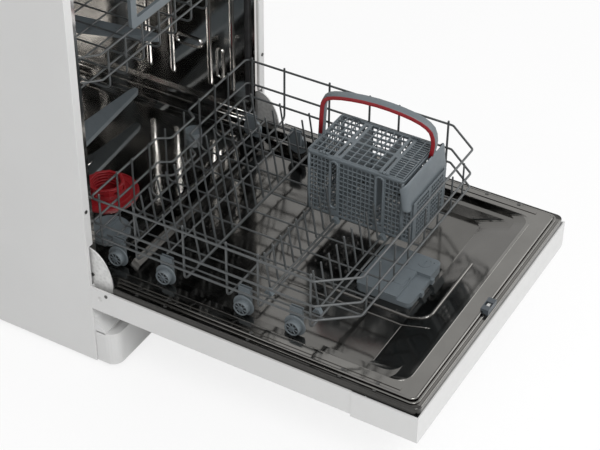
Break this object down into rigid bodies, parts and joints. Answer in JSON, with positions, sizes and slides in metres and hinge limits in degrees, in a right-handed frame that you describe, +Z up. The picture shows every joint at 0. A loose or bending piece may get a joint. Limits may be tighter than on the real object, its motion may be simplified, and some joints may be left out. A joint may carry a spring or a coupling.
{
  "type": "dishwasher",
  "caption": "Freestanding dishwasher with its door let down, wheeled wire rack rolled out over it, cutlery basket, upper rack, spray arms and dispenser.",
  "frame": {"origin": "middle of the footprint box, cabinet and open door together, at floor height", "axes": "+Z up, +Y from the open door towards the cabinet's back, +X to the right seen from the front"},
  "size_m": [0.6, 1.196, 0.85],
  "materials": {
    "white_paint": "satin white enamel",
    "white_plastic": "white moulded",
    "worktop_board": "white laminate",
    "stainless": "bright rolled",
    "zinc": "zinc plated",
    "black_plastic": "moulded",
    "black_rubber": "matt",
    "blue_grey_plastic": "fine textured",
    "coated_wire": "dark grey coating",
    "red_plastic": "dark red moulded",
    "concrete_weight": "raw"
  },
  "bodies": {
    "cabinet": {"base_tray": "black_plastic", "plinth": "white_paint", "side_panel_left": "white_paint", "side_panel_right": "white_paint", "back_panel": "zinc", "worktop": "worktop_board", "feet": "black_plastic", "tub_walls": "stainless", "tub_back": "stainless", "tub_floor": "stainless", "tub_seal": "black_rubber", "sump": "black_plastic", "wash_pump": "blue_grey_plastic", "drain_pump": "blue_grey_plastic", "water_inlet": "blue_grey_plastic", "counterweight": "concrete_weight", "door_panel": "white_paint", "console": "white_plastic", "door_liner": "stainless", "door_hinges": "zinc", "hinge_pins": "zinc", "dispenser": "blue_grey_plastic", "door_lock": "black_plastic", "screws": "zinc", "filter_plate": "red_plastic", "spray_feed": "blue_grey_plastic", "guide_rails": "stainless"},
    "dispenser_lid": {"dispenser_lid": "blue_grey_plastic"},
    "rinse_cap": {"rinse_cap": "blue_grey_plastic"},
    "lock_latch": {"lock_latch": "zinc"},
    "power_button": {"power_button": "white_plastic"},
    "start_button": {"start_button": "white_plastic"},
    "level_float": {"level_float": "blue_grey_plastic"},
    "salt_cap": {"salt_cap": "blue_grey_plastic"},
    "filter_cup": {"filter_cup": "red_plastic"},
    "lower_spray_arm": {"lower_spray_arm": "blue_grey_plastic"},
    "lower_rack": {"rack_rails": "coated_wire", "rack_wires": "coated_wire", "rack_bends": "coated_wire", "rack_tines": "coated_wire", "rack_clips": "blue_grey_plastic"},
    "tine_row_front": {"tine_row_front": "coated_wire"},
    "tine_row_rear": {"tine_row_rear": "coated_wire"},
    "cutlery_basket": {"cutlery_basket": "blue_grey_plastic", "basket_shield": "blue_grey_plastic", "basket_handle": "blue_grey_plastic"},
    "basket_lid_left": {"basket_lid_left": "blue_grey_plastic"},
    "basket_lid_right": {"basket_lid_right": "blue_grey_plastic"},
    "upper_rack": {"upper_rack": "coated_wire", "rack_grip": "blue_grey_plastic", "upper_feed": "blue_grey_plastic"},
    "upper_spray_arm": {"upper_spray_arm": "blue_grey_plastic"},
    "wheel_left_1": {"wheel_left_1": "blue_grey_plastic"},
    "wheel_left_2": {"wheel_left_2": "blue_grey_plastic"},
    "wheel_left_3": {"wheel_left_3": "blue_grey_plastic"},
    "wheel_left_4": {"wheel_left_4": "blue_grey_plastic"},
    "wheel_right_1": {"wheel_right_1": "blue_grey_plastic"},
    "wheel_right_2": {"wheel_right_2": "blue_grey_plastic"},
    "wheel_right_3": {"wheel_right_3": "blue_grey_plastic"},
    "wheel_right_4": {"wheel_right_4": "blue_grey_plastic"}
  },
  "joints": [
    {"name": "dispenser_lid_slide", "type": "slide", "parent": "cabinet", "child": "dispenser_lid", "axis": [0, -1, 0], "range_m": [0, 0.022]},
    {"name": "rinse_cap_twist", "type": "hinge", "parent": "cabinet", "child": "rinse_cap", "pos_m": [0.046, -0.435, 0.196], "axis": [0, 0, 1], "range_deg": [-90, 0]},
    {"name": "lock_latch_slide", "type": "slide", "parent": "cabinet", "child": "lock_latch", "axis": [0, 1, 0], "range_m": [0, 0.0025], "stiffness_N_per_m": 300, "springref_m": -0.001},
    {"name": "power_button_press", "type": "slide", "parent": "cabinet", "child": "power_button", "axis": [0, 0, 1], "range_m": [0, 0.0015], "stiffness_N_per_m": 500, "springref_m": -0.001},
    {"name": "start_button_press", "type": "slide", "parent": "cabinet", "child": "start_button", "axis": [0, 0, 1], "range_m": [0, 0.0015], "stiffness_N_per_m": 500, "springref_m": -0.001},
    {"name": "level_float_rise", "type": "slide", "parent": "cabinet", "child": "level_float", "axis": [0, 0, 1], "range_m": [0, 0.01]},
    {"name": "salt_cap_twist", "type": "hinge", "parent": "cabinet", "child": "salt_cap", "pos_m": [-0.152, 0.111, 0.186], "axis": [0, 0, 1], "range_deg": [0, 90]},
    {"name": "filter_cup_twist", "type": "hinge", "parent": "cabinet", "child": "filter_cup", "pos_m": [-0.059, 0.185, 0.186], "axis": [0, 0, 1], "range_deg": [0, 90]},
    {"name": "lower_spray_arm_spin", "type": "hinge", "parent": "cabinet", "child": "lower_spray_arm", "pos_m": [0, 0.296, 0.229], "axis": [0, 0, 1], "continuous": true},
    {"name": "lower_rack_slide", "type": "slide", "parent": "cabinet", "child": "lower_rack", "axis": [0, 1, 0], "range_m": [0, 0.5]},
    {"name": "tine_row_front_fold", "type": "hinge", "parent": "lower_rack", "child": "tine_row_front", "pos_m": [0, -0.361, 0.2477], "axis": [1, 0, 0], "range_deg": [-76, 0]},
    {"name": "tine_row_rear_fold", "type": "hinge", "parent": "lower_rack", "child": "tine_row_rear", "pos_m": [0, -0.2665, 0.2477], "axis": [1, 0, 0], "range_deg": [-76, 0]},
    {"name": "basket_lift", "type": "slide", "parent": "lower_rack", "child": "cutlery_basket", "axis": [0, 0, -1], "range_m": [-0.15, 0]},
    {"name": "basket_lid_left_swing", "type": "hinge", "parent": "cutlery_basket", "child": "basket_lid_left", "pos_m": [0.0283, -0.299, 0.3788], "axis": [0, -1, 0], "range_deg": [0, 110]},
    {"name": "basket_lid_right_swing", "type": "hinge", "parent": "cutlery_basket", "child": "basket_lid_right", "pos_m": [0.1487, -0.299, 0.3788], "axis": [0, 1, 0], "range_deg": [0, 110]},
    {"name": "upper_rack_slide", "type": "slide", "parent": "cabinet", "child": "upper_rack", "axis": [0, -1, 0], "range_m": [0, 0.4]},
    {"name": "upper_spray_arm_spin", "type": "hinge", "parent": "upper_rack", "child": "upper_spray_arm", "pos_m": [0, 0.313, 0.492], "axis": [0, 0, 1], "continuous": true},
    {"name": "wheel_left_1_roll", "type": "hinge", "parent": "lower_rack", "child": "wheel_left_1", "pos_m": [-0.2345, 0.0364, 0.2105], "axis": [1, 0, 0], "range_deg": [-2100, 60]},
    {"name": "wheel_left_2_roll", "type": "hinge", "parent": "lower_rack", "child": "wheel_left_2", "pos_m": [-0.2345, -0.0652, 0.2105], "axis": [1, 0, 0], "range_deg": [-2100, 60]},
    {"name": "wheel_left_3_roll", "type": "hinge", "parent": "lower_rack", "child": "wheel_left_3", "pos_m": [-0.2345, -0.2254, 0.2105], "axis": [1, 0, 0], "range_deg": [-2100, 60]},
    {"name": "wheel_left_4_roll", "type": "hinge", "parent": "lower_rack", "child": "wheel_left_4", "pos_m": [-0.2345, -0.3272, 0.2105], "axis": [1, 0, 0], "range_deg": [-2100, 60]},
    {"name": "wheel_right_1_roll", "type": "hinge", "parent": "lower_rack", "child": "wheel_right_1", "pos_m": [0.2345, 0.0364, 0.2105], "axis": [1, 0, 0], "range_deg": [-2100, 60]},
    {"name": "wheel_right_2_roll", "type": "hinge", "parent": "lower_rack", "child": "wheel_right_2", "pos_m": [0.2345, -0.0652, 0.2105], "axis": [1, 0, 0], "range_deg": [-2100, 60]},
    {"name": "wheel_right_3_roll", "type": "hinge", "parent": "lower_rack", "child": "wheel_right_3", "pos_m": [0.2345, -0.2254, 0.2105], "axis": [1, 0, 0], "range_deg": [-2100, 60]},
    {"name": "wheel_right_4_roll", "type": "hinge", "parent": "lower_rack", "child": "wheel_right_4", "pos_m": [0.2345, -0.3272, 0.2105], "axis": [1, 0, 0], "range_deg": [-2100, 60]}
  ],
  "couplings": [
    {"joint": "wheel_left_1_roll", "follows": "lower_rack_slide", "rad_per_m": -70.423},
    {"joint": "wheel_left_2_roll", "follows": "lower_rack_slide", "rad_per_m": -70.423},
    {"joint": "wheel_left_3_roll", "follows": "lower_rack_slide", "rad_per_m": -70.423},
    {"joint": "wheel_left_4_roll", "follows": "lower_rack_slide", "rad_per_m": -70.423},
    {"joint": "wheel_right_1_roll", "follows": "lower_rack_slide", "rad_per_m": -70.423},
    {"joint": "wheel_right_2_roll", "follows": "lower_rack_slide", "rad_per_m": -70.423},
    {"joint": "wheel_right_3_roll", "follows": "lower_rack_slide", "rad_per_m": -70.423},
    {"joint": "wheel_right_4_roll", "follows": "lower_rack_slide", "rad_per_m": -70.423}
  ]
}
